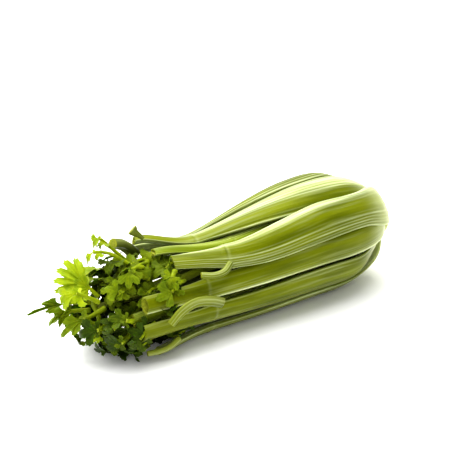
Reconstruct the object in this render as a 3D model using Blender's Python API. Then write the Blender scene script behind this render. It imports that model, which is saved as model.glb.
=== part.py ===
"""A head of celery, trimmed at both ends and lying on its side.

Metres, +Z up. The head lies along X with its butt at +X and its leaves at -X, and rests on z = 0.
A place in the head is given by d, the distance from the trimmed butt toward the leaves, by r, the
distance from the head's middle line, and by an angle around that line, measured in degrees from
straight up (+Z) toward -Y.
"""

import math

import bmesh
import bpy
import numpy as np

# ---- Driving dimensions -------------------------------------------------------------------------

BUTT_X = 0.175  # where the trimmed butt's flat face is, before the head is centred
FLOOR_CLEARANCE = 0.0006  # under leaves and side stems that hang low

# The height of the head's middle line over the floor: (d, height).
MIDDLE_LINE = (
    (0.000, 0.0505), (0.060, 0.0507), (0.090, 0.0505), (0.183, 0.0408), (0.260, 0.0362), (0.380, 0.0352),
)  # fmt: skip

# The outline of the outer stalks, turned about the middle line: (d, r).
OUTER_MERIDIAN = (
    (0.0043, 0.0215), (0.0066, 0.0256), (0.0110, 0.0325), (0.0190, 0.0400), (0.0300, 0.0460),
    (0.0450, 0.0515), (0.0620, 0.0545), (0.0900, 0.0545), (0.1330, 0.0510), (0.1830, 0.0450),
    (0.2200, 0.0418), (0.3000, 0.0410),
)  # fmt: skip
# The same for the stalks inside them, and for the slender ones at the heart.
INNER_MERIDIAN = (
    (0.0140, 0.0150), (0.0172, 0.0192), (0.0230, 0.0240), (0.0350, 0.0305), (0.0600, 0.0365),
    (0.0900, 0.0380), (0.1330, 0.0350), (0.1830, 0.0290), (0.2300, 0.0265), (0.3100, 0.0270),
)  # fmt: skip
HEART_MERIDIAN = (
    (0.0210, 0.0085), (0.0260, 0.0118), (0.0400, 0.0160), (0.0800, 0.0205), (0.1330, 0.0190),
    (0.1830, 0.0150), (0.2400, 0.0125), (0.3200, 0.0150),
)  # fmt: skip

# A stalk's cross-section at distance d: (d, width along its outer face, radius of that face's curve,
# thickness at the middle, thickness at the margins).
OUTER_SECTION = (
    (0.0043, 0.0170, 0.0380, 0.0028, 0.0018), (0.0110, 0.0200, 0.0360, 0.0030, 0.0019),
    (0.0190, 0.0245, 0.0345, 0.0040, 0.0021), (0.0300, 0.0290, 0.0320, 0.0052, 0.0023),
    (0.0450, 0.0320, 0.0275, 0.0062, 0.0025), (0.0620, 0.0340, 0.0240, 0.0068, 0.0027),
    (0.0900, 0.0340, 0.0225, 0.0070, 0.0028), (0.1330, 0.0305, 0.0195, 0.0070, 0.0029),
    (0.1830, 0.0255, 0.0150, 0.0068, 0.0030), (0.2200, 0.0230, 0.0120, 0.0068, 0.0034),
    (0.3000, 0.0215, 0.0105, 0.0068, 0.0036),
)  # fmt: skip
INNER_SECTION = (
    (0.0140, 0.0130, 0.0250, 0.0024, 0.0018), (0.0230, 0.0165, 0.0230, 0.0034, 0.0020),
    (0.0350, 0.0215, 0.0205, 0.0046, 0.0022), (0.0600, 0.0262, 0.0185, 0.0054, 0.0023),
    (0.0900, 0.0262, 0.0170, 0.0058, 0.0024), (0.1330, 0.0230, 0.0145, 0.0060, 0.0026),
    (0.1830, 0.0195, 0.0110, 0.0060, 0.0028), (0.2300, 0.0175, 0.0090, 0.0060, 0.0030),
    (0.3100, 0.0160, 0.0085, 0.0058, 0.0032),
)  # fmt: skip
HEART_SECTION = (
    (0.0210, 0.0070, 0.0120, 0.0022, 0.0014), (0.0400, 0.0110, 0.0100, 0.0034, 0.0016),
    (0.0800, 0.0140, 0.0092, 0.0042, 0.0020), (0.1330, 0.0130, 0.0080, 0.0046, 0.0022),
    (0.1830, 0.0115, 0.0066, 0.0048, 0.0024), (0.2400, 0.0105, 0.0056, 0.0046, 0.0026),
    (0.3200, 0.0100, 0.0054, 0.0044, 0.0026),
)  # fmt: skip
# The base of an outermost stalk wraps round the ones behind it: (d, how much wider it is there).
WRAP = (
    (0.0043, 0.55), (0.0110, 0.78), (0.0190, 0.65), (0.0300, 0.40), (0.0450, 0.13), (0.0620, 0), (0.1000, 0),
)  # fmt: skip
WRAP_FLATTENING = 0.5  # a wrapping base is flatter by this share of its extra width

MARGIN_TAPER = 2.2  # how late across its width a stalk thins toward its margins
LEVEL_DEPTH = 0.0035  # how far each level of stalk is tucked in behind the one over it
BULGE_D = 0.080  # where the head is widest
KNEE_SWELLING = 0.07  # a stalk's extra width at the joint where its leaf stems leave it
KNEE_HALF_LENGTH = 0.006
RACHIS_WIDTH = 0.90  # the width past that joint, against the width before it

# Stalks: (name, angle at the bulge, at the joint and at the cut end, level at the base, level from the
# bulge on, width factor, share of the base wrap, d of the joint, d of the cut end, outward splay there).
OUTER_STALKS = (
    ("stalk_top", 13, -17, -30, 1.3, 0.9, 0.98, 0.0, 0.199, 0.248, 0.018),
    ("stalk_front_upper", 50, 40, 18, 0.0, 0.0, 0.98, 1.0, 0.190, 0.236, 0.000),
    ("stalk_front_middle", 81, 70, 61, 1.3, 1.5, 0.87, 0.0, 0.214, 0.272, 0.000),
    ("stalk_front_lower", 120, 109, 99, 2.4, 0.7, 1.03, 0.0, 0.209, 0.280, 0.000),
    ("stalk_under_front", 154, 149, 143, 0.0, 0.0, 0.90, 0.3, 0.205, 0.260, 0.004),
    ("stalk_under_middle", 181, 180, 179, 1.5, 2.5, 0.82, 0.0, 0.196, 0.250, 0.000),
    ("stalk_under_back", 207, 211, 213, 0.0, 0.0, 0.90, 0.3, 0.207, 0.262, 0.000),
    ("stalk_back_lower", 247, 244, 242, 1.4, 1.0, 1.00, 0.0, 0.201, 0.252, 0.000),
    ("stalk_back_middle", 287, 278, 273, 0.0, 0.9, 0.99, 0.8, 0.212, 0.264, 0.002),
    ("stalk_back_upper", 330, 311.5, 302, 2.4, 0.35, 0.95, 0.0, 0.195, 0.243, 0.014),
)  # fmt: skip
INNER_STALKS = (
    ("inner_stalk_top", 31, 17.6, -3, 0.0, 0.0, 0.84, 0.0, 0.172, 0.244, 0.012),
    ("inner_stalk_front", 84, 84, 84, 0.0, 0.0, 1.00, 0.0, 0.205, 0.282, 0.000),
    ("inner_stalk_under_front", 140, 140, 138, 0.0, 0.0, 1.00, 0.0, 0.210, 0.276, 0.000),
    ("inner_stalk_under_back", 198, 198, 196, 0.0, 0.0, 1.00, 0.0, 0.200, 0.268, 0.000),
    ("inner_stalk_back", 258, 258, 258, 0.0, 0.0, 1.00, 0.0, 0.206, 0.274, 0.000),
    ("inner_stalk_back_upper", 322, 316, 312, 0.0, 0.0, 1.00, 0.0, 0.198, 0.262, 0.004),
)  # fmt: skip
HEART_STALKS = (
    ("heart_stalk_upper", 10, 10, 10, 0.0, 0.0, 1.00, 0.0, 0.215, 0.292, 0.004),
    ("heart_stalk_front", 100, 100, 100, 0.0, 0.0, 1.00, 0.0, 0.225, 0.300, 0.002),
    ("heart_stalk_under", 190, 190, 190, 0.0, 0.0, 1.00, 0.0, 0.220, 0.286, 0.000),
    ("heart_stalk_back", 280, 280, 280, 0.0, 0.0, 1.00, 0.0, 0.210, 0.296, 0.002),
)  # fmt: skip
RISING_STALK = "inner_stalk_top"  # comes out between its neighbours toward its joint
RISE = 0.0066
RISE_FROM, RISE_TO = 0.085, 0.172
LEVEL_BASE_D, LEVEL_BULGE_D = 0.020, 0.062  # between these a stalk changes from one level to the other

# The trimmed butt: (d, r), a flat cut face, and a cone that the stalks stand on.
BUTT_PROFILE = (
    (0.0000, 0.0000), (0.0000, 0.0190), (0.0008, 0.0206), (0.0032, 0.0213), (0.0040, 0.0209),
    (0.0128, 0.0143), (0.0180, 0.0102), (0.0200, 0.0070), (0.0205, 0.0000),
)  # fmt: skip
BUTT_SIDES = 40

# Leaf stems that were cut short: (name, width, thickness, path through places (d, angle, r)).
SIDE_STEMS = (
    ("side_stem_front_upper", 0.0055, 0.0042,
        ((0.195, 51, 0.0488), (0.203, 56, 0.0490), (0.213, 56, 0.0485), (0.224, 51, 0.0470))),
    ("side_stem_front_lower", 0.0080, 0.0036,
        ((0.208, 88, 0.0445), (0.221, 79, 0.0480), (0.238, 74, 0.0490), (0.252, 78, 0.0485), (0.261, 87, 0.0465))),
    ("side_stem_top", 0.0050, 0.0040,
        ((0.2490, -13, 0.0540), (0.2515, -14, 0.0570), (0.2545, -15, 0.0600), (0.2565, -16, 0.0630))),
    ("side_stem_upper_back", 0.0100, 0.0090,
        ((0.246, -46, 0.0420), (0.252, -40, 0.0480), (0.260, -35, 0.0530), (0.268, -32, 0.0550))),
    ("side_stem_back_middle", 0.0060, 0.0040,
        ((0.216, -80, 0.0480), (0.228, -79, 0.0500), (0.244, -78, 0.0490), (0.256, -78, 0.0460))),
    ("side_stem_back_lower", 0.0055, 0.0040,
        ((0.205, -128, 0.0440), (0.220, -126, 0.0470), (0.236, -124, 0.0460), (0.250, -122, 0.0430))),
    ("side_stem_under_front", 0.0070, 0.0050,
        ((0.246, 120, 0.0420), (0.256, 126, 0.0440), (0.266, 130, 0.0430), (0.274, 132, 0.0410))),
)  # fmt: skip

# Leaves: (name, blade width, share of the path that is blade, roll, path through places (d, angle, r)).
LEAVES = (
    ("leaf_upper_knob", 0.012, 0.4, 0,
        ((0.266, -20, 0.0400), (0.276, -22, 0.0540), (0.286, -22, 0.0650), (0.296, -24, 0.0640))),
    ("leaf_upper_curl", 0.008, 0.4, 0,
        ((0.270, -4, 0.0400), (0.284, -12, 0.0520), (0.298, -18, 0.0550), (0.307, -22, 0.0500))),
    ("leaf_bright_lobed", 0.034, 0.85, 0,
        ((0.300, -4, 0.0200), (0.307, -14, 0.0310), (0.315, -19, 0.0430), (0.325, -22, 0.0540))),
    ("leaf_curly_lobes", 0.018, 0.7, 10,
        ((0.306, 24, 0.0240), (0.322, 14, 0.0340), (0.338, 6, 0.0400), (0.350, 2, 0.0320))),
    ("leaf_far_tip", 0.009, 0.7, 60,
        ((0.304, -34, 0.0150), (0.322, -28, 0.0200), (0.342, -18, 0.0230), (0.3575, -14, 0.0260))),
    ("leaf_upper_back", 0.018, 0.7, 0,
        ((0.270, -44, 0.0340), (0.278, -50, 0.0400), (0.288, -50, 0.0440), (0.298, -49, 0.0420))),
    ("leaf_bent_stem", 0.009, 0.3, 0,
        ((0.298, -60, 0.0170), (0.303, 60, 0.0040), (0.309, 112, 0.0130), (0.312, 130, 0.0230))),
    ("leaf_low_stub", 0.006, 0.4, 0,
        ((0.300, 165, 0.0100), (0.308, 178, 0.0150), (0.320, 190, 0.0200))),
    ("leaf_low_front", 0.018, 0.8, 0,
        ((0.284, 136, 0.0230), (0.292, 140, 0.0270), (0.300, 146, 0.0280), (0.308, 152, 0.0250))),
    ("leaf_low_middle", 0.017, 0.8, 0,
        ((0.284, 172, 0.0240), (0.293, 177, 0.0275), (0.302, 182, 0.0290), (0.311, 186, 0.0270))),
    ("leaf_hanging", 0.014, 0.8, 0,
        ((0.252, -2, 0.0380), (0.256, 8, 0.0330), (0.259, 18, 0.0270), (0.261, 30, 0.0220))),
    ("leaf_fragment", 0.014, 0.8, 0,
        ((0.240, 33, 0.0400), (0.246, 40, 0.0420), (0.251, 48, 0.0420), (0.255, 56, 0.0400))),
    ("leaf_floor_front", 0.016, 0.8, 0,
        ((0.264, 150, 0.0340), (0.270, 153, 0.0355), (0.277, 156, 0.0350), (0.284, 158, 0.0330))),
    ("leaf_back_upper", 0.022, 0.7, 0,
        ((0.272, -76, 0.0370), (0.288, -77, 0.0440), (0.304, -78, 0.0460), (0.319, -79, 0.0400))),
    ("leaf_back_middle", 0.022, 0.7, 0,
        ((0.270, -106, 0.0340), (0.288, -108, 0.0400), (0.308, -108, 0.0420), (0.325, -107, 0.0360))),
    ("leaf_back_lower", 0.020, 0.7, 0,
        ((0.266, -132, 0.0350), (0.280, -131, 0.0370), (0.298, -130, 0.0350), (0.314, -128, 0.0290))),
    ("leaf_heart_front", 0.018, 0.8, 0,
        ((0.304, 84, 0.0150), (0.314, 80, 0.0210), (0.326, 76, 0.0240), (0.336, 74, 0.0210))),
    ("leaf_heart_top", 0.014, 0.7, 0,
        ((0.298, 24, 0.0130), (0.312, 34, 0.0110), (0.328, 40, 0.0120), (0.344, 44, 0.0140))),
    ("leaf_heart_back", 0.018, 0.7, 0,
        ((0.300, -84, 0.0150), (0.314, -86, 0.0230), (0.330, -84, 0.0260), (0.344, -80, 0.0230))),
    ("leaf_heart_lower", 0.016, 0.7, 0,
        ((0.292, -160, 0.0140), (0.306, -154, 0.0180), (0.320, -150, 0.0200), (0.334, -146, 0.0180))),
    ("leaf_front_middle", 0.016, 0.8, 0,
        ((0.286, 78, 0.0300), (0.293, 72, 0.0330), (0.301, 64, 0.0340), (0.308, 56, 0.0320))),
    ("leaf_front_lower", 0.016, 0.8, 0,
        ((0.286, 108, 0.0260), (0.296, 110, 0.0300), (0.308, 112, 0.0310), (0.318, 114, 0.0280))),
)  # fmt: skip
LEAF_STEM = 0.0030  # a leaf stem's width
LEAF_THICKNESS = 0.0012
LEAF_STATIONS = 7
STEM_STATIONS = 8

# ---- Colours: base colour, roughness ------------------------------------------------------------

STALK_GREEN = ((0.23, 0.33, 0.03), 0.38)
INNER_GREEN = ((0.38, 0.46, 0.09), 0.40)
HEART_YELLOW = ((0.55, 0.58, 0.17), 0.42)
BUTT_CREAM = ((0.72, 0.70, 0.45), 0.60)
LEAF_GREEN = ((0.16, 0.31, 0.02), 0.50)


# ---- Curves and frames --------------------------------------------------------------------------


def smooth(keys, at):
    """Values on a smooth curve through keys, rows of (position, value, ...), at the positions given."""
    keys = np.asarray(keys, float)
    place, values = keys[:, 0], keys[:, 1:]
    slopes = np.gradient(values, place, axis=0)
    at = np.clip(np.asarray(at, float), place[0], place[-1])
    low = np.clip(np.searchsorted(place, at, side="right") - 1, 0, len(place) - 2)
    span = place[low + 1] - place[low]
    t = ((at - place[low]) / span)[..., None]
    span = span[..., None]
    return (
        (2 * t**3 - 3 * t**2 + 1) * values[low]
        + (t**3 - 2 * t**2 + t) * span * slopes[low]
        + (3 * t**2 - 2 * t**3) * values[low + 1]
        + (t**3 - t**2) * span * slopes[low + 1]
    )


def ease(t):
    t = np.clip(t, 0.0, 1.0)
    return t * t * (3 - 2 * t)


def place(d, angle, r):
    """World points for positions in the head."""
    turn = np.radians(angle)
    height = smooth(MIDDLE_LINE, d)[..., 0]
    return np.stack([BUTT_X - d, -r * np.sin(turn), height + r * np.cos(turn)], axis=-1)


def unit(vectors):
    return vectors / np.linalg.norm(vectors, axis=-1, keepdims=True)


# ---- Stalks -------------------------------------------------------------------------------------


def stations(start, end, knee, count):
    """Distances along a stalk: close together at the flared base and at the joint."""
    base = [start, 0.0066, 0.0100, 0.0150, 0.0220, 0.0320, 0.0460]
    body = np.linspace(0.064, knee - 0.012, count)
    joint = [knee - KNEE_HALF_LENGTH, knee, knee + KNEE_HALF_LENGTH]
    tip = np.linspace(knee + 0.020, end, 3)
    whole = np.concatenate([base, body, joint, tip])
    return np.concatenate([[start], whole[whole > start + 0.0015]])


def stalk_path(stalk, meridian, d):
    """Points along the middle of a stalk's outer face, and the outward direction at each."""
    name, at_bulge, at_knee, at_end, base_level, level, _, _, knee, end, splay = stalk
    angle = smooth(((0.0, at_bulge), (BULGE_D, at_bulge), (knee, at_knee), (end, at_end)), d)[:, 0]
    r = smooth(meridian, d)[:, 0] + splay * ease((d - knee + 0.02) / (end - knee + 0.02)) ** 2
    if name == RISING_STALK:
        r = r + RISE * ease((d - RISE_FROM) / (RISE_TO - RISE_FROM))
    points = place(d, angle, r)
    along = unit(np.gradient(points, axis=0))
    turn = np.radians(angle)
    outward = np.stack([np.zeros_like(d), -np.sin(turn), np.cos(turn)], axis=-1)
    outward = unit(outward - (outward * along).sum(1)[:, None] * along)
    settled = ease((d - LEVEL_BASE_D) / (LEVEL_BULGE_D - LEVEL_BASE_D))
    depth = (base_level + (level - base_level) * settled) * LEVEL_DEPTH
    return points - outward * depth[:, None], outward, along


def knee_factor(d, knee):
    swelling = KNEE_SWELLING * np.exp(-(((d - knee) / KNEE_HALF_LENGTH) ** 2))
    return 1 - (1 - RACHIS_WIDTH) * ease((d - knee) / (4 * KNEE_HALF_LENGTH)) + swelling


def stalk_rings(stalk, meridian, section, d, outer_points, inner_points):
    """Closed cross-sections along a stalk: across the outer face, then back across the inner one."""
    path, outward, along = stalk_path(stalk, meridian, d)
    width_factor, wrap, knee = stalk[6], stalk[7], stalk[8]
    sideways = np.cross(along, outward)
    width, curve, middle, margin = smooth(section, d).T
    factor = knee_factor(d, knee)
    wrapping = wrap * smooth(WRAP, d)[:, 0]
    width = width * width_factor * factor * (1 + wrapping)
    curve = curve * factor * (1 + WRAP_FLATTENING * wrapping)
    outer = [(u, curve) for u in np.linspace(-1, 1, outer_points)]
    inner = [
        (u, curve - middle + (middle - margin) * abs(u) ** MARGIN_TAPER)
        for u in np.linspace(1, -1, inner_points)
    ]
    rings = []
    for u, reach in outer + inner:
        bend = u * width / (2 * curve)
        across, inward = reach * np.sin(bend), curve - reach * np.cos(bend)
        rings.append(path + sideways * across[:, None] - outward * inward[:, None])
    return np.stack(rings, axis=1)


def loft(name, rings, material):
    """A closed solid through cross-sections that all have the same number of points."""
    mesh = bmesh.new()
    rows = [[mesh.verts.new(point) for point in ring] for ring in rings]
    count = len(rows[0])
    for low, high in zip(rows, rows[1:]):
        for i in range(count):
            j = (i + 1) % count
            mesh.faces.new((low[i], low[j], high[j], high[i]))
    mesh.faces.new(rows[0][::-1])
    mesh.faces.new(rows[-1])
    return finish_object(name, mesh, material)


def finish_object(name, mesh, material):
    bmesh.ops.triangulate(mesh, faces=mesh.faces[:])
    bmesh.ops.recalc_face_normals(mesh, faces=mesh.faces[:])
    data = bpy.data.meshes.new(name)
    mesh.to_mesh(data)
    mesh.free()
    data.shade_smooth()
    data.set_sharp_from_angle(angle=math.radians(50))
    data.materials.append(material)
    thing = bpy.data.objects.new(name, data)
    bpy.context.scene.collection.objects.link(thing)
    return thing


def make_material(name, finish):
    colour, roughness = finish
    material = bpy.data.materials.new(name)
    material.use_nodes = True
    shader = material.node_tree.nodes["Principled BSDF"]
    shader.inputs["Base Color"].default_value = (*colour, 1)
    shader.inputs["Roughness"].default_value = roughness
    shader.inputs["Metallic"].default_value = 0
    return material


def make_stalks(stalks, meridian, section, finish, body_stations, outer_points, inner_points):
    for stalk in stalks:
        name, knee, end = stalk[0], stalk[8], stalk[9]
        d = stations(section[0][0], end, knee, body_stations)
        rings = stalk_rings(stalk, meridian, section, d, outer_points, inner_points)
        loft(name, rings, make_material(name, finish))


def curve_through(points, count):
    """Evenly spaced points in the world on a smooth curve through places in the head."""
    points = np.asarray(points, float)
    corners = place(points[:, 0], points[:, 1], points[:, 2])
    steps = np.linalg.norm(np.diff(corners, axis=0), axis=1)
    reach = np.concatenate([[0], np.cumsum(steps)])
    return smooth(np.column_stack([reach, corners]), np.linspace(0, reach[-1], count))


def strip_rings(path, widths, thicknesses, roll, sides=6):
    """Flattened cross-sections along a path, which face away from the head's middle line."""
    along = unit(np.gradient(path, axis=0))
    centre = place(BUTT_X - path[:, 0], 0 * path[:, 0], 0 * path[:, 0])
    outward = unit(path - centre)
    outward = unit(outward - (outward * along).sum(1)[:, None] * along)
    sideways = np.cross(along, outward)
    turn = math.radians(roll)
    sideways, outward = (
        sideways * math.cos(turn) + outward * math.sin(turn),
        outward * math.cos(turn) - sideways * math.sin(turn),
    )
    spots = np.arange(sides) * 2 * np.pi / sides
    across = sideways[:, None, :] * (widths[:, None] / 2 * np.cos(spots))[:, :, None]
    through = outward[:, None, :] * (thicknesses[:, None] / 2 * np.sin(spots))[:, :, None]
    rings = path[:, None, :] + across + through
    rings[:, :, 2] = np.maximum(rings[:, :, 2], FLOOR_CLEARANCE)
    return rings


def make_side_stems():
    for name, width, thickness, points in SIDE_STEMS:
        path = curve_through(points, STEM_STATIONS)
        even = np.ones(STEM_STATIONS)
        rings = strip_rings(path, width * even, thickness * even, 0, sides=8)
        loft(name, rings, make_material(name, STALK_GREEN))


def make_leaves():
    """Each leaf is one solid: a round stem that flattens into a blade."""
    for name, width, share, roll, points in LEAVES:
        path = curve_through(points, LEAF_STATIONS)
        t = (np.linspace(0, 1, LEAF_STATIONS) - (1 - share)) / share
        blade = np.sin(np.pi * np.clip(t, 0, 1) ** 0.8) ** 0.7
        widths = LEAF_STEM + (width - LEAF_STEM) * np.where(t > 0, blade, 0)
        thicknesses = LEAF_STEM + (LEAF_THICKNESS - LEAF_STEM) * ease(t * 3)
        rings = strip_rings(path, widths, thicknesses, roll)
        loft(name, rings, make_material(name, LEAF_GREEN))


def make_butt():
    """A turned disc, as high off the floor as the middle line is at its own end."""
    centre = place(np.array([0.0]), np.array([0.0]), np.array([0.0]))[0]
    mesh = bmesh.new()
    angles = np.linspace(0, 2 * np.pi, BUTT_SIDES, endpoint=False)
    rows = []
    for d, r in BUTT_PROFILE:
        rows.append(
            [
                mesh.verts.new((BUTT_X - d, r * math.sin(t), centre[2] + r * math.cos(t)))
                for t in (angles if r else angles[:1])
            ]
        )
    for low, high in zip(rows, rows[1:]):
        for i in range(BUTT_SIDES):
            j = i + 1
            corners = low[i % len(low)], low[j % len(low)], high[j % len(high)], high[i % len(high)]
            mesh.faces.new(list(dict.fromkeys(corners)))
    finish_object("butt", mesh, make_material("butt", BUTT_CREAM))


def rest_on_origin():
    """Moves the whole head so that its box stands centred on the origin."""
    things = list(bpy.context.scene.objects)
    corners = np.array([vertex.co for thing in things for vertex in thing.data.vertices])
    low, high = corners.min(axis=0), corners.max(axis=0)
    shift = -np.array([(low[0] + high[0]) / 2, (low[1] + high[1]) / 2, low[2]])
    for thing in things:
        thing.location = shift


def main():
    for thing in list(bpy.data.objects):
        bpy.data.objects.remove(thing)
    make_butt()
    make_stalks(OUTER_STALKS, OUTER_MERIDIAN, OUTER_SECTION, STALK_GREEN, 5, 9, 7)
    make_stalks(INNER_STALKS, INNER_MERIDIAN, INNER_SECTION, INNER_GREEN, 4, 7, 5)
    make_stalks(HEART_STALKS, HEART_MERIDIAN, HEART_SECTION, HEART_YELLOW, 4, 5, 3)
    make_side_stems()
    make_leaves()
    rest_on_origin()


main()
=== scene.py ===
"""The looks of a head of celery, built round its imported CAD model.

Metres, +Z up. The head lies along X with its butt at +X and its leaves at -X. A place in the head is
given by d, the distance from the trimmed butt toward the leaves, by r, the distance from the head's
middle line, and by an angle around that line, in degrees from straight up (+Z) toward -Y.
"""

import math

import bpy
import numpy as np
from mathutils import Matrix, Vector


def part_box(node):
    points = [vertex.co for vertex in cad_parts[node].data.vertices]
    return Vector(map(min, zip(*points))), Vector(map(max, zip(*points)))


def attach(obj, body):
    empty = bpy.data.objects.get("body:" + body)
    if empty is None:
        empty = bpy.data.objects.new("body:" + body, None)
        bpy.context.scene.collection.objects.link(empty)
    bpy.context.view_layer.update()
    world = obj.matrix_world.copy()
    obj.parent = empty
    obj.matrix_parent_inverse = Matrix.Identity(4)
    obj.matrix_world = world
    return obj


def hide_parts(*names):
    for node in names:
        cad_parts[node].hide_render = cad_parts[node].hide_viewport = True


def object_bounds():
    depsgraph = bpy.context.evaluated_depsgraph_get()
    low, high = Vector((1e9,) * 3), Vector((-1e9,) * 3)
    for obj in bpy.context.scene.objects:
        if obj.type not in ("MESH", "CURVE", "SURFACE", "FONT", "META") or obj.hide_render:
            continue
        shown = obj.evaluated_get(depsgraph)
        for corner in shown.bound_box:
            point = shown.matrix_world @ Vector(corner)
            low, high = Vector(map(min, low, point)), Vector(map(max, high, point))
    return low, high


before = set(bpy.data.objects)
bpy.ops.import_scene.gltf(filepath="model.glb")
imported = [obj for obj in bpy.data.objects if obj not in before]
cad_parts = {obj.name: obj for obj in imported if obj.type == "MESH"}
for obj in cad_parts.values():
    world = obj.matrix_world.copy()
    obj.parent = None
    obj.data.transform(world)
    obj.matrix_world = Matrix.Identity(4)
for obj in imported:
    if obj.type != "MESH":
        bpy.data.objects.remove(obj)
cad_box = [list(corner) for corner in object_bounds()]

# ---- Driving dimensions, as in the CAD model ----------------------------------------------------

BUTT_X = 0.175

MIDDLE_LINE = (
    (0.000, 0.0505), (0.060, 0.0507), (0.090, 0.0505), (0.183, 0.0408), (0.260, 0.0362), (0.380, 0.0352),
)  # fmt: skip

OUTER_MERIDIAN = (
    (0.0043, 0.0215), (0.0066, 0.0256), (0.0110, 0.0325), (0.0190, 0.0400), (0.0300, 0.0460),
    (0.0450, 0.0515), (0.0620, 0.0545), (0.0900, 0.0545), (0.1330, 0.0510), (0.1830, 0.0450),
    (0.2200, 0.0418), (0.3000, 0.0410),
)  # fmt: skip
INNER_MERIDIAN = (
    (0.0140, 0.0150), (0.0172, 0.0192), (0.0230, 0.0240), (0.0350, 0.0305), (0.0600, 0.0365),
    (0.0900, 0.0380), (0.1330, 0.0350), (0.1830, 0.0290), (0.2300, 0.0265), (0.3100, 0.0270),
)  # fmt: skip
HEART_MERIDIAN = (
    (0.0210, 0.0085), (0.0260, 0.0118), (0.0400, 0.0160), (0.0800, 0.0205), (0.1330, 0.0190),
    (0.1830, 0.0150), (0.2400, 0.0125), (0.3200, 0.0150),
)  # fmt: skip

# (d, width along the outer face, radius of its curve, thickness at the middle, thickness at the margins)
OUTER_SECTION = (
    (0.0043, 0.0170, 0.0380, 0.0028, 0.0018), (0.0110, 0.0200, 0.0360, 0.0030, 0.0019),
    (0.0190, 0.0245, 0.0345, 0.0040, 0.0021), (0.0300, 0.0290, 0.0320, 0.0052, 0.0023),
    (0.0450, 0.0320, 0.0275, 0.0062, 0.0025), (0.0620, 0.0340, 0.0240, 0.0068, 0.0027),
    (0.0900, 0.0340, 0.0225, 0.0070, 0.0028), (0.1330, 0.0305, 0.0195, 0.0070, 0.0029),
    (0.1830, 0.0255, 0.0150, 0.0068, 0.0030), (0.2200, 0.0230, 0.0120, 0.0068, 0.0034),
    (0.3000, 0.0215, 0.0105, 0.0068, 0.0036),
)  # fmt: skip
INNER_SECTION = (
    (0.0140, 0.0130, 0.0250, 0.0024, 0.0018), (0.0230, 0.0165, 0.0230, 0.0034, 0.0020),
    (0.0350, 0.0215, 0.0205, 0.0046, 0.0022), (0.0600, 0.0262, 0.0185, 0.0054, 0.0023),
    (0.0900, 0.0262, 0.0170, 0.0058, 0.0024), (0.1330, 0.0230, 0.0145, 0.0060, 0.0026),
    (0.1830, 0.0195, 0.0110, 0.0060, 0.0028), (0.2300, 0.0175, 0.0090, 0.0060, 0.0030),
    (0.3100, 0.0160, 0.0085, 0.0058, 0.0032),
)  # fmt: skip
HEART_SECTION = (
    (0.0210, 0.0070, 0.0120, 0.0022, 0.0014), (0.0400, 0.0110, 0.0100, 0.0034, 0.0016),
    (0.0800, 0.0140, 0.0092, 0.0042, 0.0020), (0.1330, 0.0130, 0.0080, 0.0046, 0.0022),
    (0.1830, 0.0115, 0.0066, 0.0048, 0.0024), (0.2400, 0.0105, 0.0056, 0.0046, 0.0026),
    (0.3200, 0.0100, 0.0054, 0.0044, 0.0026),
)  # fmt: skip
WRAP = (
    (0.0043, 0.55), (0.0110, 0.78), (0.0190, 0.65), (0.0300, 0.40), (0.0450, 0.13), (0.0620, 0), (0.1000, 0),
)  # fmt: skip
WRAP_FLATTENING = 0.5
MARGIN_TAPER = 2.2
LEVEL_DEPTH = 0.0035
LEVEL_BASE_D, LEVEL_BULGE_D = 0.020, 0.062
BULGE_D = 0.080
KNEE_SWELLING = 0.07
KNEE_HALF_LENGTH = 0.006
RACHIS_WIDTH = 0.90
RISING_STALK = "inner_stalk_top"
RISE = 0.0066
RISE_FROM, RISE_TO = 0.085, 0.172

# (name, angle at the bulge, at the joint and at the cut end, level at the base, level from the bulge
# on, width factor, share of the base wrap, d of the joint, d of the cut end, outward splay there)
OUTER_STALKS = (
    ("stalk_top", 13, -17, -30, 1.3, 0.9, 0.98, 0.0, 0.199, 0.248, 0.018),
    ("stalk_front_upper", 50, 40, 18, 0.0, 0.0, 0.98, 1.0, 0.190, 0.236, 0.000),
    ("stalk_front_middle", 81, 70, 61, 1.3, 1.5, 0.87, 0.0, 0.214, 0.272, 0.000),
    ("stalk_front_lower", 120, 109, 99, 2.4, 0.7, 1.03, 0.0, 0.209, 0.280, 0.000),
    ("stalk_under_front", 154, 149, 143, 0.0, 0.0, 0.90, 0.3, 0.205, 0.260, 0.004),
    ("stalk_under_middle", 181, 180, 179, 1.5, 2.5, 0.82, 0.0, 0.196, 0.250, 0.000),
    ("stalk_under_back", 207, 211, 213, 0.0, 0.0, 0.90, 0.3, 0.207, 0.262, 0.000),
    ("stalk_back_lower", 247, 244, 242, 1.4, 1.0, 1.00, 0.0, 0.201, 0.252, 0.000),
    ("stalk_back_middle", 287, 278, 273, 0.0, 0.9, 0.99, 0.8, 0.212, 0.264, 0.002),
    ("stalk_back_upper", 330, 311.5, 302, 2.4, 0.35, 0.95, 0.0, 0.195, 0.243, 0.014),
)  # fmt: skip
INNER_STALKS = (
    ("inner_stalk_top", 31, 17.6, -3, 0.0, 0.0, 0.84, 0.0, 0.172, 0.244, 0.012),
    ("inner_stalk_front", 84, 84, 84, 0.0, 0.0, 1.00, 0.0, 0.205, 0.282, 0.000),
    ("inner_stalk_under_front", 140, 140, 138, 0.0, 0.0, 1.00, 0.0, 0.210, 0.276, 0.000),
    ("inner_stalk_under_back", 198, 198, 196, 0.0, 0.0, 1.00, 0.0, 0.200, 0.268, 0.000),
    ("inner_stalk_back", 258, 258, 258, 0.0, 0.0, 1.00, 0.0, 0.206, 0.274, 0.000),
    ("inner_stalk_back_upper", 322, 316, 312, 0.0, 0.0, 1.00, 0.0, 0.198, 0.262, 0.004),
)  # fmt: skip
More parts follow.
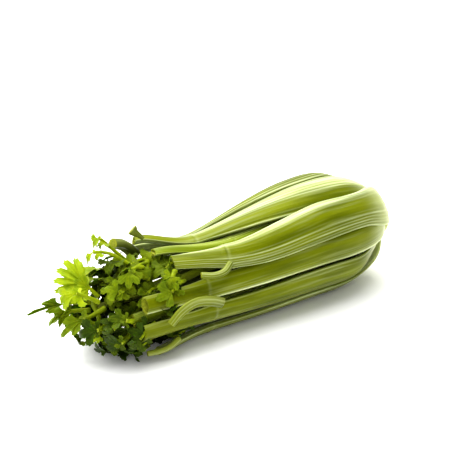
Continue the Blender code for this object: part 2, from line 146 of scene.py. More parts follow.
HEART_STALKS = (
    ("heart_stalk_upper", 10, 10, 10, 0.0, 0.0, 1.00, 0.0, 0.215, 0.292, 0.004),
    ("heart_stalk_front", 100, 100, 100, 0.0, 0.0, 1.00, 0.0, 0.225, 0.300, 0.002),
    ("heart_stalk_under", 190, 190, 190, 0.0, 0.0, 1.00, 0.0, 0.220, 0.286, 0.000),
    ("heart_stalk_back", 280, 280, 280, 0.0, 0.0, 1.00, 0.0, 0.210, 0.296, 0.002),
)  # fmt: skip

# The trimmed butt: (d, r).
BUTT_PROFILE = (
    (0.0000, 0.0000), (0.0000, 0.0190), (0.0008, 0.0206), (0.0032, 0.0213), (0.0040, 0.0209),
    (0.0128, 0.0143), (0.0180, 0.0102), (0.0200, 0.0070), (0.0205, 0.0000),
)  # fmt: skip

# Cut leaf stems: (name, width, thickness, path through places (d, angle, r)).
SIDE_STEMS = (
    ("side_stem_front_upper", 0.0055, 0.0042,
        ((0.195, 51, 0.0488), (0.203, 56, 0.0490), (0.213, 56, 0.0485), (0.224, 51, 0.0470))),
    ("side_stem_front_lower", 0.0080, 0.0036,
        ((0.208, 88, 0.0445), (0.221, 79, 0.0480), (0.238, 74, 0.0490), (0.252, 78, 0.0485), (0.261, 87, 0.0465))),
    ("side_stem_top", 0.0050, 0.0040,
        ((0.2490, -13, 0.0540), (0.2515, -14, 0.0570), (0.2545, -15, 0.0600), (0.2565, -16, 0.0630))),
    ("side_stem_upper_back", 0.0100, 0.0090,
        ((0.246, -46, 0.0420), (0.252, -40, 0.0480), (0.260, -35, 0.0530), (0.268, -32, 0.0550))),
    ("side_stem_back_middle", 0.0060, 0.0040,
        ((0.216, -80, 0.0480), (0.228, -79, 0.0500), (0.244, -78, 0.0490), (0.256, -78, 0.0460))),
    ("side_stem_back_lower", 0.0055, 0.0040,
        ((0.205, -128, 0.0440), (0.220, -126, 0.0470), (0.236, -124, 0.0460), (0.250, -122, 0.0430))),
    ("side_stem_under_front", 0.0070, 0.0050,
        ((0.246, 120, 0.0420), (0.256, 126, 0.0440), (0.266, 130, 0.0430), (0.274, 132, 0.0410))),
)  # fmt: skip

# Leaves: (name, blade width, share of the path that is blade, roll, path through places (d, angle, r)).
LEAVES = (
    ("leaf_upper_knob", 0.012, 0.4, 0,
        ((0.266, -20, 0.0400), (0.276, -22, 0.0540), (0.286, -22, 0.0650), (0.296, -24, 0.0640))),
    ("leaf_upper_curl", 0.008, 0.4, 0,
        ((0.270, -4, 0.0400), (0.284, -12, 0.0520), (0.298, -18, 0.0550), (0.307, -22, 0.0500))),
    ("leaf_bright_lobed", 0.034, 0.85, 0,
        ((0.300, -4, 0.0200), (0.307, -14, 0.0310), (0.315, -19, 0.0430), (0.325, -22, 0.0540))),
    ("leaf_curly_lobes", 0.018, 0.7, 10,
        ((0.306, 24, 0.0240), (0.322, 14, 0.0340), (0.338, 6, 0.0400), (0.350, 2, 0.0320))),
    ("leaf_far_tip", 0.009, 0.7, 60,
        ((0.304, -34, 0.0150), (0.322, -28, 0.0200), (0.342, -18, 0.0230), (0.3575, -14, 0.0260))),
    ("leaf_upper_back", 0.018, 0.7, 0,
        ((0.270, -44, 0.0340), (0.278, -50, 0.0400), (0.288, -50, 0.0440), (0.298, -49, 0.0420))),
    ("leaf_bent_stem", 0.009, 0.3, 0,
        ((0.298, -60, 0.0170), (0.303, 60, 0.0040), (0.309, 112, 0.0130), (0.312, 130, 0.0230))),
    ("leaf_low_stub", 0.006, 0.4, 0,
        ((0.300, 165, 0.0100), (0.308, 178, 0.0150), (0.320, 190, 0.0200))),
    ("leaf_low_front", 0.018, 0.8, 0,
        ((0.284, 136, 0.0230), (0.292, 140, 0.0270), (0.300, 146, 0.0280), (0.308, 152, 0.0250))),
    ("leaf_low_middle", 0.017, 0.8, 0,
        ((0.284, 172, 0.0240), (0.293, 177, 0.0275), (0.302, 182, 0.0290), (0.311, 186, 0.0270))),
    ("leaf_hanging", 0.014, 0.8, 0,
        ((0.252, -2, 0.0380), (0.256, 8, 0.0330), (0.259, 18, 0.0270), (0.261, 30, 0.0220))),
    ("leaf_fragment", 0.014, 0.8, 0,
        ((0.240, 33, 0.0400), (0.246, 40, 0.0420), (0.251, 48, 0.0420), (0.255, 56, 0.0400))),
    ("leaf_floor_front", 0.016, 0.8, 0,
        ((0.264, 150, 0.0340), (0.270, 153, 0.0355), (0.277, 156, 0.0350), (0.284, 158, 0.0330))),
    ("leaf_back_upper", 0.022, 0.7, 0,
        ((0.272, -76, 0.0370), (0.288, -77, 0.0440), (0.304, -78, 0.0460), (0.319, -79, 0.0400))),
    ("leaf_back_middle", 0.022, 0.7, 0,
        ((0.270, -106, 0.0340), (0.288, -108, 0.0400), (0.308, -108, 0.0420), (0.325, -107, 0.0360))),
    ("leaf_back_lower", 0.020, 0.7, 0,
        ((0.266, -132, 0.0350), (0.280, -131, 0.0370), (0.298, -130, 0.0350), (0.314, -128, 0.0290))),
    ("leaf_heart_front", 0.018, 0.8, 0,
        ((0.304, 84, 0.0150), (0.314, 80, 0.0210), (0.326, 76, 0.0240), (0.336, 74, 0.0210))),
    ("leaf_heart_top", 0.014, 0.7, 0,
        ((0.298, 24, 0.0130), (0.312, 34, 0.0110), (0.328, 40, 0.0120), (0.344, 44, 0.0140))),
    ("leaf_heart_back", 0.018, 0.7, 0,
        ((0.300, -84, 0.0150), (0.314, -86, 0.0230), (0.330, -84, 0.0260), (0.344, -80, 0.0230))),
    ("leaf_heart_lower", 0.016, 0.7, 0,
        ((0.292, -160, 0.0140), (0.306, -154, 0.0180), (0.320, -150, 0.0200), (0.334, -146, 0.0180))),
    ("leaf_front_middle", 0.016, 0.8, 0,
        ((0.286, 78, 0.0300), (0.293, 72, 0.0330), (0.301, 64, 0.0340), (0.308, 56, 0.0320))),
    ("leaf_front_lower", 0.016, 0.8, 0,
        ((0.286, 108, 0.0260), (0.296, 110, 0.0300), (0.308, 112, 0.0310), (0.318, 114, 0.0280))),
)  # fmt: skip

# The lengthwise ribs of a stalk: (place across it from -1 to 1, height as a share of RIB_HEIGHT, half width
# across, paleness). +1 is the margin nearer the top of the head on the -Y side. The paleness is the ribs'
# own pale colour; on the upper faces of the top stalks and the upper rim of the front upper stalk it is
# widened into a painted highlight.
PLAIN_RIBS = (
    (-0.93, 0.9, 0.060, 0.9), (-0.77, 0.7, 0.045, 0.6), (-0.60, 0.55, 0.045, 0.45), (-0.42, 0.4, 0.045, 0.3),
    (-0.22, 0.25, 0.050, 0.2), (0.0, 0.2, 0.050, 0.15), (0.21, 0.25, 0.050, 0.2), (0.41, 0.4, 0.045, 0.3),
    (0.60, 0.55, 0.045, 0.45), (0.78, 0.7, 0.045, 0.6), (0.93, 0.9, 0.060, 0.9),
)  # fmt: skip
RIBS = {
    # Its wide, fully pale upper rim is a painted highlight.
    "stalk_front_upper": (
        (0.92, 1.1, 0.130, 1.0), (0.74, 0.6, 0.130, 1.0), (0.55, 0.3, 0.070, 0.50), (0.36, 0.15, 0.050, 0.05),
        (0.12, 0.18, 0.050, 0.05),
        (-0.14, 0.22, 0.050, 0.20), (-0.33, 0.50, 0.050, 0.62), (-0.50, 0.38, 0.045, 0.45),
        (-0.64, 0.52, 0.045, 0.60), (-0.79, 0.40, 0.045, 0.45), (-0.93, 0.7, 0.060, 0.65),
    ),
    # Its wide, fully pale upper ribs paint a highlight along its top band.
    "stalk_top": (
        (0.93, 0.9, 0.100, 1.0), (0.76, 0.6, 0.110, 1.0), (0.57, 0.55, 0.110, 1.0), (0.38, 0.6, 0.110, 1.0),
        (0.19, 0.5, 0.100, 1.0), (0.01, 0.45, 0.085, 1.0), (-0.15, 0.35, 0.060, 0.70), (-0.33, 0.3, 0.050, 0.15),
        (-0.52, 0.15, 0.050, 0.0), (-0.74, 0.25, 0.045, 0.05), (-0.94, 0.7, 0.050, 0.7),
    ),
    # Its wide, pale upper ribs are partly a painted highlight.
    "inner_stalk_top": (
        (0.92, 0.9, 0.090, 1.0), (0.72, 0.6, 0.090, 1.0), (0.52, 0.5, 0.080, 0.9), (0.32, 0.5, 0.070, 0.9),
        (0.12, 0.4, 0.060, 0.8), (-0.10, 0.3, 0.050, 0.4), (-0.40, 0.25, 0.050, 0.12), (-0.70, 0.5, 0.050, 0.3),
        (-0.93, 0.9, 0.060, 0.8),
    ),
    "stalk_front_middle": (
        (0.90, 0.5, 0.060, 0.3), (0.62, 0.2, 0.050, 0.06), (0.34, 0.15, 0.050, 0.04), (0.05, 0.15, 0.050, 0.05),
        (-0.22, 0.2, 0.050, 0.08), (-0.46, 0.3, 0.045, 0.2), (-0.64, 0.4, 0.050, 0.3), (-0.88, 1.1, 0.130, 1.0),
    ),
    "stalk_front_lower": (
        (0.92, 0.6, 0.060, 0.4), (0.70, 0.25, 0.050, 0.12), (0.45, 0.15, 0.050, 0.05), (0.18, 0.18, 0.050, 0.06),
        (-0.08, 0.3, 0.045, 0.15), (-0.28, 0.5, 0.042, 0.3), (-0.45, 0.6, 0.040, 0.4), (-0.62, 0.65, 0.040, 0.5),
        (-0.78, 0.7, 0.042, 0.5), (-0.93, 0.9, 0.060, 0.6),
    ),
    "stalk_back_upper": (
        (-0.92, 0.8, 0.070, 0.8), (-0.72, 0.7, 0.050, 0.7), (-0.50, 0.4, 0.050, 0.3), (-0.25, 0.2, 0.050, 0.1),
        (0.0, 0.2, 0.050, 0.1), (0.25, 0.3, 0.050, 0.2), (0.50, 0.5, 0.045, 0.4), (0.72, 0.7, 0.045, 0.5),
        (0.92, 0.9, 0.060, 0.8),
    ),
}  # fmt: skip
RIB_HEIGHT, RIB_FULL_WIDTH = 0.00052, 0.034  # a rib's height, on a stalk of this width


# ---- Curves and frames --------------------------------------------------------------------------


def smooth(keys, at):
    """Values on a smooth curve through keys, rows of (position, value, ...), at the positions given."""
    keys = np.asarray(keys, float)
    spot, values = keys[:, 0], keys[:, 1:]
    slopes = np.gradient(values, spot, axis=0)
    at = np.clip(np.asarray(at, float), spot[0], spot[-1])
    low = np.clip(np.searchsorted(spot, at, side="right") - 1, 0, len(spot) - 2)
    span = spot[low + 1] - spot[low]
    t = ((at - spot[low]) / span)[..., None]
    span = span[..., None]
    return (
        (2 * t**3 - 3 * t**2 + 1) * values[low]
        + (t**3 - 2 * t**2 + t) * span * slopes[low]
        + (3 * t**2 - 2 * t**3) * values[low + 1]
        + (t**3 - t**2) * span * slopes[low + 1]
    )


def ease(t):
    t = np.clip(t, 0.0, 1.0)
    return t * t * (3 - 2 * t)


def unit(vectors):
    return vectors / np.linalg.norm(vectors, axis=-1, keepdims=True)


def frame_shift():
    """From the stalks' own coordinates to the frame's, read off the butt's box."""
    low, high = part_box("butt")
    return np.array([high[0] - BUTT_X, (low[1] + high[1]) / 2, (low[2] + high[2]) / 2 - MIDDLE_LINE[0][1]])


SHIFT = frame_shift()


def place(d, angle, r):
    """World points for positions in the head."""
    turn = np.radians(angle)
    height = smooth(MIDDLE_LINE, d)[..., 0]
    return np.stack([BUTT_X - d, -r * np.sin(turn), height + r * np.cos(turn)], axis=-1) + SHIFT


# ---- Meshes -------------------------------------------------------------------------------------


SHARP_EDGE = math.radians(50)


def add_piece(name, part, material, node=None):
    """A mesh with float attributes on its points, riding on the head's one body.

    It stands in for a CAD node where one is named.
    """
    points, faces, attributes = part
    data = bpy.data.meshes.new(name)
    data.from_pydata(points.tolist(), [], faces)
    data.validate()
    for key, values in attributes.items():
        data.attributes.new(key, "FLOAT", "POINT").data.foreach_set("value", values.astype(np.float32))
    data.shade_smooth()
    data.set_sharp_from_angle(angle=SHARP_EDGE)
    data.materials.append(material)
    thing = bpy.data.objects.new(name, data)
    bpy.context.scene.collection.objects.link(thing)
    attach(thing, "root")
    if node:
        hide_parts(node)


def tube_faces(rings, count):
    """Quads between rings of count points each."""
    row = np.arange(rings - 1)[:, None] * count
    i = np.arange(count)[None, :]
    j = (i + 1) % count
    quads = np.stack([row + i, row + j, row + count + j, row + count + i], axis=-1)
    return quads.reshape(-1, 4).tolist()


def closed_tube_faces(rings, count):
    """The same, with one face across each end."""
    ends = [list(range(count))[::-1], [(rings - 1) * count + i for i in range(count)]]
    return tube_faces(rings, count) + ends


def merged(parts):
    """Several (points, faces, attributes) as one."""
    points, faces, start = [], [], 0
    for part_points, part_faces, _ in parts:
        points.append(part_points)
        faces.extend([[corner + start for corner in face] for face in part_faces])
        start += len(part_points)
    keys = sorted({key for part in parts for key in part[2]})
    attributes = {
        key: np.concatenate([part[2].get(key, np.zeros(len(part[0]))) for part in parts]) for key in keys
    }
    return np.concatenate(points), faces, attributes


# ---- Stalks -------------------------------------------------------------------------------------

# How much wider a stalk is than in the CAD model, which narrows the gap to its neighbour: (share, the d
# where it is widest, reach along d).
FLARES = {
    "stalk_top": (0.34, 0.108, 0.078), "stalk_front_upper": (0.17, 0.120, 0.058),
    "stalk_front_lower": (0.06, 0.105, 0.055), "stalk_back_lower": (0.14, 0.090, 0.065),
    "stalk_back_middle": (0.20, 0.080, 0.075), "stalk_back_upper": (0.22, 0.080, 0.078),
}  # fmt: skip
INNER_FLARE = (0.42, 0.065, 0.060)
NO_FLARE = (0.0, 0.1, 0.1)
BASE_END, JOINT_REACH = 0.045, 0.014  # stretches of a stalk with samples of their own
MARGIN_CROWDING = 0.35  # how far the samples across a stalk crowd toward its margins
SINE_REACH = 0.999  # keeps the crowding just short of the sine's flat end
RIM_FROM = 0.93  # where across a stalk its margin starts to round off
RIB_WANDER = 0.012
NOTCH_DEPTH, NOTCH_LENGTH = 0.00022, 0.0011  # the line across a stalk at its joint
COLLAR_HEIGHT, COLLAR_LENGTH, COLLAR_AFTER = 0.0004, 0.002, 0.003  # and the swelling past it
CHANNEL_DEPTH = 0.0004  # lengthwise hollows on the inner face
INNER_PALENESS = 0.25
PALE_BASE_LENGTH, JOINT_LINE = 0.055, 0.0014

# The cut end: rings toward the middle of the section, how far the first ones bulge, and how deep and how
# slanted the pith behind them is.
CUT_RINGS = (0.03, 0.08, 0.15, 0.25, 0.38, 0.52, 0.66, 0.80, 0.92, 0.985)
CUT_BULGE, CUT_RAGGED, CUT_COLOUR_RAMP = 0.0006, 0.00035, 6
PITH_SINK, PITH_FROM, PITH_RAMP = 0.0009, 0.15, 0.7
SCOOP = {"stalk_front_middle": 0.0080, "stalk_front_lower": 0.0030, "stalk_back_middle": 0.0040}
CUT_SLANT = {"stalk_front_middle": 0.5, "stalk_front_upper": -0.3, "stalk_top": 0.3, "inner_stalk_top": 0.4}
SLANT_REACH = 0.010


def knee_factor(d, knee):
    """A stalk's width at d against its leafless width: swollen at the joint, slimmer past it."""
    swelling = KNEE_SWELLING * np.exp(-(((d - knee) / KNEE_HALF_LENGTH) ** 2))
    return 1 - (1 - RACHIS_WIDTH) * ease((d - knee) / (4 * KNEE_HALF_LENGTH)) + swelling


def flare_factor(name, d):
    flare, flare_d, flare_length = FLARES.get(name, INNER_FLARE if name.startswith("inner") else NO_FLARE)
    return 1 + flare * np.exp(-(((d - flare_d) / flare_length) ** 4))


def stalk_path(stalk, meridian, d):
    """Points along the middle of a stalk's outer face, with the outward and lengthwise directions."""
    name, at_bulge, at_knee, at_end, base_level, level, _, _, knee, end, splay = stalk
    angle = smooth(((0.0, at_bulge), (BULGE_D, at_bulge), (knee, at_knee), (end, at_end)), d)[:, 0]
    r = smooth(meridian, d)[:, 0] + splay * ease((d - knee + 0.02) / (end - knee + 0.02)) ** 2
    if name == RISING_STALK:
        r = r + RISE * ease((d - RISE_FROM) / (RISE_TO - RISE_FROM))
    points = place(d, angle, r)
    along = unit(np.gradient(points, axis=0))
    turn = np.radians(angle)
    outward = np.stack([np.zeros_like(d), -np.sin(turn), np.cos(turn)], axis=-1)
    outward = unit(outward - (outward * along).sum(1)[:, None] * along)
    settled = ease((d - LEVEL_BASE_D) / (LEVEL_BULGE_D - LEVEL_BASE_D))
    depth = (base_level + (level - base_level) * settled) * LEVEL_DEPTH
    return points - outward * depth[:, None], outward, along


def lengthwise_samples(start, knee, end, count):
    """Values of d along a stalk, closest together at its base and its joint."""
    return np.concatenate(
        [
            np.linspace(start, BASE_END, count // 3, endpoint=False),
            np.linspace(BASE_END, knee - JOINT_REACH, count // 3, endpoint=False),
            np.linspace(knee - JOINT_REACH, knee + JOINT_REACH, count // 5, endpoint=False),
            np.linspace(knee + JOINT_REACH, end, count // 6),
        ]
    )


def across_samples(count):
    """Places across a stalk from -1 to 1, closer together at the rounded margins."""
    even = np.linspace(-1, 1, count)
    crowded = np.sin(even * np.pi / 2 * SINE_REACH) / math.sin(np.pi / 2 * SINE_REACH)
    return crowded * MARGIN_CROWDING + even * (1 - MARGIN_CROWDING)


def rib_relief(name, d, u, width, knee, rng):
    """Height and paleness of a stalk's ribs, with the line at its joint, along d and across u. Part of the paleness
    is painted highlight.
    """
    ribs = RIBS.get(name, PLAIN_RIBS)
    wander = rng.normal(0, RIB_WANDER, (len(ribs), 4))
    height, pale = np.zeros((len(d), len(u))), np.zeros((len(d), len(u)))
    s = (d - d[0]) / (d[-1] - d[0])
    for (spot, tall, half_width, paleness), phase in zip(ribs, wander):
        drift = phase[0] + phase[1] * np.sin(5 * s + 90 * phase[2]) * 1.2
        swell = 1 + 0.25 * np.sin(9 * s + 130 * phase[3])
        shape = np.exp(-(((u[None, :] - spot - drift[:, None]) / half_width) ** 2))
        height += shape * (tall * swell)[:, None]
        come_and_go = 1 - 0.35 * np.sin(6 * s + 200 * phase[2]) ** 2
        pale = np.maximum(pale, shape * (paleness * come_and_go)[:, None])
    fade = (0.35 + 0.65 * ease((d - 0.006) / 0.03)) * (1 - 0.35 * ease((d - knee) / 0.02))
    height *= fade[:, None] * RIB_HEIGHT * (width / RIB_FULL_WIDTH)[:, None]
    notch = -NOTCH_DEPTH * np.exp(-(((d - knee) / NOTCH_LENGTH) ** 2))
    collar = COLLAR_HEIGHT * np.exp(-(((d - knee - COLLAR_AFTER) / COLLAR_LENGTH) ** 2))
    height += (notch + collar)[:, None] * (1 - u[None, :] ** 4)
    return height, pale


def cut_rings(name, last, centre, direction, rng):
    """Rings that close a cut end, bevelled at the skin and sunk at the pith, and how cut each one looks."""
    count = len(last)
    ragged = rng.normal(0, 1, count)
    ragged = (ragged + np.roll(ragged, 1) + np.roll(ragged, 2)) / 3
    sink = SCOOP.get(name, PITH_SINK)
    rings, looks = [], []
    for step in CUT_RINGS:
        forward = CUT_BULGE * math.sqrt(1 - (1 - step) ** 2) - sink * ease((step - PITH_FROM) / PITH_RAMP)
        push = forward + ragged * CUT_RAGGED * step * (1 - step) * 4
        rings.append(last + (centre - last) * step + direction * push[:, None])
        looks.append(np.full(count, min(1.0, step * CUT_COLOUR_RAMP)))
    return np.array(rings), np.array(looks)


def section_faces(row, across_count, count, flip):
    """Faces over a whole section, between the points of its outer face and those of its inner face."""
    faces = []
    for i in range(across_count - 1):
        a, b = row + i, row + i + 1
        c = row + (count - i - 1) if i + 1 < across_count - 1 else b
        e = row + (count - i) % count
        face = list(dict.fromkeys([a, b, c, e]))
        if len(face) > 2:
            faces.append(face[::-1] if flip else face)
    return faces


def stalk_part(stalk, meridian, section, fine, rng):
    """A stalk as one closed skin: ribbed outer face, channelled inner face, rounded margins, cut end."""
    name, width_factor, wrap, knee, end = stalk[0], stalk[6], stalk[7], stalk[8], stalk[9]
    start = section[0][0]
    length_count, across_count = fine
    d = lengthwise_samples(start, knee, end, length_count)
    path, outward, along = stalk_path(stalk, meridian, d)
    sideways = np.cross(along, outward)
    width, curve, middle, margin = smooth(section, d).T
    factor = knee_factor(d, knee)
    wrapping = wrap * smooth(WRAP, d)[:, 0]
    opened = flare_factor(name, d)
    width = width * width_factor * factor * (1 + wrapping) * opened
    curve = curve * factor * (1 + WRAP_FLATTENING * wrapping) * opened

    u = across_samples(across_count)
    rim = np.clip((np.abs(u) - RIM_FROM) / (1 - RIM_FROM), 0, 1)
    round_off = np.sqrt(np.clip(1 - rim**2, 0, 1))
    thickness = middle[:, None] - (middle - margin)[:, None] * np.abs(u)[None, :] ** MARGIN_TAPER
    half = thickness / 2 * round_off[None, :]
    middle_depth = thickness / 2
    height, pale = rib_relief(name, d, u, width, knee, rng)
    bend = u[None, :] * width[:, None] / (2 * curve[:, None])

    def skin(depth, bend_at):
        reach = curve[:, None] - depth
        across, inward = reach * np.sin(bend_at), curve[:, None] - reach * np.cos(bend_at)
        return (
            path[:, None, :]
            + sideways[:, None, :] * across[:, :, None]
            - outward[:, None, :] * inward[:, :, None]
        )

    inner_u = u[1:-1][::-1]
    channel = CHANNEL_DEPTH * np.sin(inner_u * 9 + 3)[None, :] * (1 - inner_u**2)[None, :]
    outer = skin(middle_depth - half - height, bend)
    inner = skin((middle_depth + half)[:, 1:-1][:, ::-1] + channel, bend[:, 1:-1][:, ::-1])
    rings = np.concatenate([outer, inner], axis=1)
    count = rings.shape[1]

    arc = np.concatenate([[0], np.cumsum(np.linalg.norm(np.diff(path, axis=0), axis=1))])
    is_inner = np.concatenate([np.zeros(across_count), np.ones(len(inner_u))])
    attributes = {
        "across": np.concatenate([u, inner_u])[None, :] * width[:, None] / 2,
        "along": np.repeat(arc[:, None], count, axis=1),
        "pale": np.concatenate([pale, INNER_PALENESS + np.zeros((len(d), len(inner_u)))], axis=1),
        "inner": np.repeat(is_inner[None, :], len(d), axis=0),
        "cut": np.zeros((len(d), count)),
        "base": np.repeat((1 - ease((d - start) / PALE_BASE_LENGTH))[:, None], count, axis=1),
        "joint": np.repeat(np.exp(-(((d - knee) / JOINT_LINE) ** 2))[:, None], count, axis=1),
    }

    centre = (outer[-1] + skin(middle_depth + half, bend)[-1]) / 2
    centre = np.concatenate([centre, centre[1:-1][::-1]])
    caps, cap_cut = cut_rings(name, rings[-1], centre, along[-1], rng)
    inward = (rings[-1] - path[-1]) @ -outward[-1]
    lean = along[-1][None, :] * (CUT_SLANT.get(name, 0.0) * inward)[:, None]
    reach_back = ease((d - (end - SLANT_REACH)) / SLANT_REACH)
    rings = np.concatenate([rings + lean[None] * reach_back[:, None, None], caps + lean[None]])
    rings[:, :, 2] = np.maximum(rings[:, :, 2], 0.0)
    for key, values in attributes.items():
        extra = cap_cut if key == "cut" else np.repeat(values[-1:], len(caps), axis=0)
        attributes[key] = np.concatenate([values, extra]).reshape(-1)

    faces = tube_faces(len(rings), count)
    faces += section_faces(0, across_count, count, True)
    faces += section_faces((len(rings) - 1) * count, across_count, count, False)
    return rings.reshape(-1, 3), faces, attributes


# ---- Side stems, leaves and butt ----------------------------------------------------------------

# How a leaf looks: (length of its leaflets, pairs of them, curl, brightness from 0 to 1, lobes, how far it
# turns its face toward the front left, from 0 to 1). The brightness is the leaf's tone together with painted
# light and shade: the low leaves carry painted shade, the upper ones painted light.
LEAF_LOOKS = {
    "leaf_upper_knob": (0.012, 1, 2.8, 0.70, 3, 0.3), "leaf_upper_curl": (0.013, 1, 2.2, 0.85, 3, 0.3),
    "leaf_bright_lobed": (0.021, 1, 0.8, 0.80, 5, 0.7), "leaf_curly_lobes": (0.015, 1, 2.3, 0.95, 3, 0.4),
    "leaf_far_tip": (0.011, 0, 0.4, 0.22, 3, 0.0), "leaf_upper_back": (0.026, 1, 1.0, 0.50, 3, 0.3),
    "leaf_bent_stem": (0.011, 1, 1.5, 0.75, 3, 0.3), "leaf_low_stub": (0.013, 0, 1.6, 0.30, 3, 0.0),
    "leaf_low_front": (0.013, 2, 2.4, 0.0, 3, 0.0), "leaf_low_middle": (0.014, 2, 2.2, 0.02, 3, 0.0),
    "leaf_hanging": (0.017, 1, 1.8, 0.60, 3, 0.5), "leaf_fragment": (0.014, 1, 1.6, 0.45, 3, 0.6),
    "leaf_floor_front": (0.018, 1, 1.5, 0.08, 3, 0.2), "leaf_back_upper": (0.027, 1, 1.0, 0.45, 3, 0.0),
    "leaf_back_middle": (0.027, 2, 1.0, 0.30, 3, 0.0), "leaf_back_lower": (0.024, 2, 1.3, 0.20, 3, 0.0),
    "leaf_heart_front": (0.011, 1, 2.1, 0.06, 3, 0.2), "leaf_heart_top": (0.014, 1, 1.7, 0.45, 3, 0.2),
    "leaf_heart_back": (0.022, 1, 1.2, 0.55, 3, 0.0), "leaf_heart_lower": (0.012, 1, 2.0, 0.05, 3, 0.1),
    "leaf_front_middle": (0.010, 1, 2.0, 0.15, 3, 0.3), "leaf_front_lower": (0.015, 1, 1.8, 0.06, 3, 0.2),
}  # fmt: skip
TOWARD_TIP = np.array([-1.0, 0.0, 0.0])
FACING = np.array([-0.53, -0.62, 0.58])  # the front left, a little up
LEAFLET_THICKNESS, VEIN_HEIGHT = 0.00045, 0.00012
LEAFLET_ROWS, LOBE_COLUMNS = 15, 24  # points along a leaflet, and across each of its lobes
FLOOR_CLEARANCE = 0.0006


def curve_through(points, count):
    """Evenly spaced points in the world on a smooth curve through places in the head."""
    points = np.asarray(points, float)
    corners = place(points[:, 0], points[:, 1], points[:, 2])
    steps = np.linalg.norm(np.diff(corners, axis=0), axis=1)
    reach = np.concatenate([[0], np.cumsum(steps)])
    return smooth(np.column_stack([reach, corners]), np.linspace(0, reach[-1], count))


def path_frame(path):
    """Lengthwise, outward and sideways directions along a path in the head."""
    along = unit(np.gradient(path, axis=0))
    d = BUTT_X + SHIFT[0] - path[:, 0]
    outward = unit(path - place(d, 0 * d, 0 * d) + 1e-9)
    outward = unit(outward - (outward * along).sum(1)[:, None] * along)
    return along, outward, np.cross(along, outward)


# The rings that close a stem's end, as shares of its width, how far they bulge and how far the pith sinks.
STEM_END = np.array([1, 0.97, 0.90, 0.80, 0.60, 0.40, 0.20, 0.04])
STEM_BULGE, STEM_SINK = 0.00035, 0.0003
RIDGE_HEIGHT, HOLLOW_DEPTH, HOLLOW_SPREAD = 0.07, 0.35, 0.6
STEM_PALENESS, RIDGE_PALENESS, RIDGE_GAIN = 0.12, 0.35, 14


def stem_part(path, widths, thicknesses, ribs, rng, sides):
    """A ribbed stem with a flatter inner side and bevelled ends, the far one a fresh cut."""
    along, outward, sideways = path_frame(path)
    spots = np.arange(sides) * 2 * np.pi / sides
    upper = np.clip(np.sin(spots), 0, 1)
    ridge = 1 + RIDGE_HEIGHT * upper * np.cos(spots * ribs * 2 + rng.uniform(0, 6))
    hollow = 1 - HOLLOW_DEPTH * np.exp(-(((spots - 1.5 * np.pi) / HOLLOW_SPREAD) ** 2))
    across, through = np.cos(spots) * ridge, np.sin(spots) * ridge * hollow
    forward = STEM_BULGE * np.sqrt(1 - STEM_END**2) - STEM_SINK * (1 - STEM_END) ** 2
    near = path[0] - along[0] * forward[::-1][:, None]
    far = path[-1] + along[-1] * forward[:, None]
    spine = np.concatenate([near, path[1:-1], far])
    scale = np.concatenate([STEM_END[::-1], np.ones(len(path) - 2), STEM_END])
    ends, last = len(STEM_END), len(path) - 1
    index = np.concatenate([np.zeros(ends, int), np.arange(1, last), np.full(ends, last)])
    rings = (
        spine[:, None, :]
        + sideways[index][:, None, :] * (widths[index] * scale)[:, None, None] / 2 * across[None, :, None]
        + outward[index][:, None, :] * (thicknesses[index] * scale)[:, None, None] / 2 * through[None, :, None]
    )
    rings[:, :, 2] = np.maximum(rings[:, :, 2], FLOOR_CLEARANCE)
    steps = np.concatenate([[0], np.cumsum(np.linalg.norm(np.diff(spine, axis=0), axis=1))])
    cut = np.concatenate([np.zeros(len(rings) - ends + 1), np.ones(ends - 1)])
    pale = STEM_PALENESS + RIDGE_PALENESS * upper * np.clip(ridge - 1, 0, 1) * RIDGE_GAIN
    attributes = {
        "across": (across[None, :] * widths[index][:, None] / 2).reshape(-1),
        "along": np.repeat(steps, sides),
        "pale": np.tile(pale, len(rings)),
        "cut": np.repeat(cut, sides),
    }
    # Rings that run this way round give faces that look inward, so each face is reversed.
    faces = [face[::-1] for face in closed_tube_faces(len(rings), sides)]
    return rings.reshape(-1, 3), faces, attributes


def leaflet_outline(angle, spread, lobes, rng):
    """How far a leaflet reaches in each direction: rounded lobes with pointed teeth."""
    centres = np.linspace(-0.72, 0.72, lobes) * spread
    sizes = 1 - 0.30 * (np.abs(centres) / spread) + rng.normal(0, 0.05, lobes)
    half = 0.95 * spread / lobes
    lobe = (sizes * np.exp(-(np.abs((angle[:, None] - centres) / half) ** 2.6))).max(axis=1)
    teeth = np.abs(((angle / spread * lobes * 2.3 + rng.uniform(0, 1)) % 1) - 0.5) * 2
    nearest = angle - centres[np.abs(angle[:, None] - centres).argmin(axis=1)]
    return 0.50 + 0.52 * lobe - 0.08 * teeth, nearest / half


